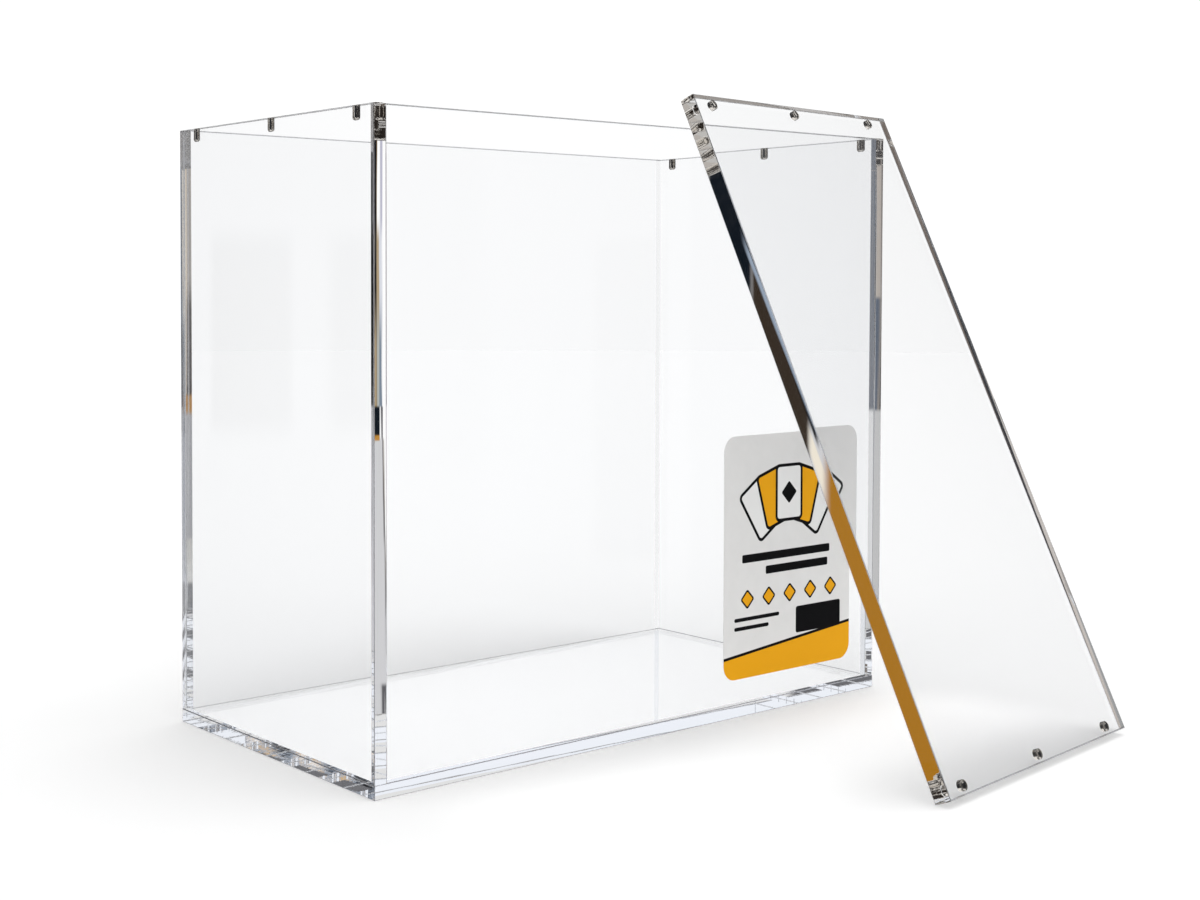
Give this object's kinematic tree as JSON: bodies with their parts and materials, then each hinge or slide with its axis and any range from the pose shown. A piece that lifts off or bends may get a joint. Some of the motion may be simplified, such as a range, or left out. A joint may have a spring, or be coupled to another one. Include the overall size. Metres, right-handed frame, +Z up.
{
  "type": "trading card display case",
  "caption": "Clear open-topped box on a full-size base, with a loose magnetic lid leaning on its front corner and a printed label on the front panel.",
  "frame": {"origin": "middle of the underside of the base, on the surface that the case stands on", "axes": "+X along the case's long side to its right end, +Y to its back, +Z up"},
  "size_m": [0.2167, 0.2002, 0.1911],
  "materials": {
    "clear_acrylic": "clear cast sheet, polished faces and edges",
    "nickel_magnet": "bright nickel plate",
    "printed_label": "satin printed sheet"
  },
  "bodies": {
    "case": {"base_panel": "clear_acrylic", "front_panel": "clear_acrylic", "back_panel": "clear_acrylic", "left_end_panel": "clear_acrylic", "right_end_panel": "clear_acrylic", "left_magnet_front": "nickel_magnet", "left_magnet_middle": "nickel_magnet", "left_magnet_back": "nickel_magnet", "right_magnet_front": "nickel_magnet", "right_magnet_middle": "nickel_magnet", "right_magnet_back": "nickel_magnet", "label": "printed_label"},
    "lid": {"lid_panel": "clear_acrylic", "lid_left_magnet_front": "nickel_magnet", "lid_left_magnet_middle": "nickel_magnet", "lid_left_magnet_back": "nickel_magnet", "lid_right_magnet_front": "nickel_magnet", "lid_right_magnet_middle": "nickel_magnet", "lid_right_magnet_back": "nickel_magnet"}
  },
  "joints": [
    {"name": "lid_lift", "type": "slide", "parent": "case", "child": "lid", "axis": [0, 0, 1], "range_m": [0, 0.195]}
  ]
}
